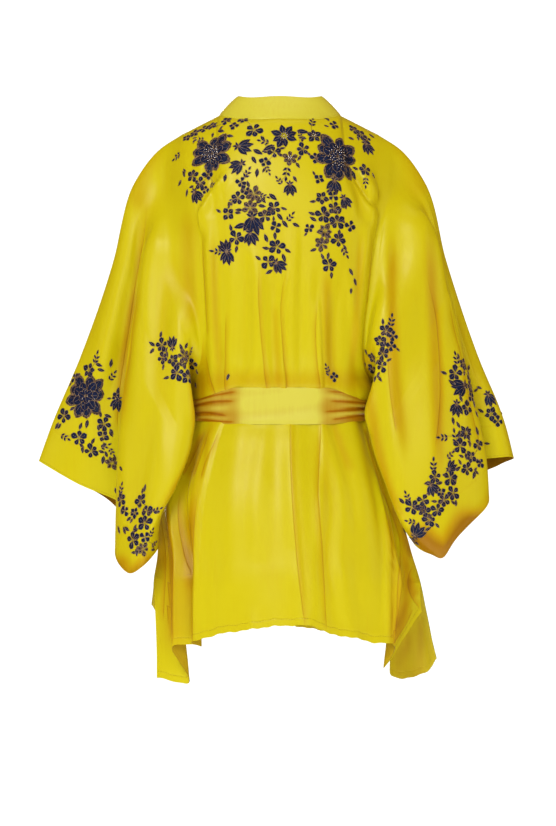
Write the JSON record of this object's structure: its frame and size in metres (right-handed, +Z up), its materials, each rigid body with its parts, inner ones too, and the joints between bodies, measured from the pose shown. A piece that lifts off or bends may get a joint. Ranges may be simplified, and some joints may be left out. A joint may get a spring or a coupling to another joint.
{
  "type": "short belted kimono robe",
  "caption": "Short satin kimono robe with wide hanging sleeves, standing neck band, tied sash, flared skirt with side slits and floral lace on the yoke and sleeves.",
  "frame": {"origin": "between the wearer's shoulders, level with the seam of the neck band, on the body's central plane", "axes": "+X towards the wearer's left, -Y towards the front, +Z up"},
  "size_m": [0.698, 0.3062, 0.8551],
  "materials": {
    "satin": "satin",
    "sash_satin": "satin"
  },
  "bodies": {
    "root": {"back": "satin", "front_left": "satin", "front_right": "satin", "sleeve_left": "satin", "sleeve_right": "satin", "cuff_left": "satin", "cuff_right": "satin", "neck_band": "satin", "belt": "sash_satin", "belt_knot": "sash_satin", "belt_tail_left": "sash_satin", "belt_tail_right": "sash_satin"}
  },
  "joints": []
}
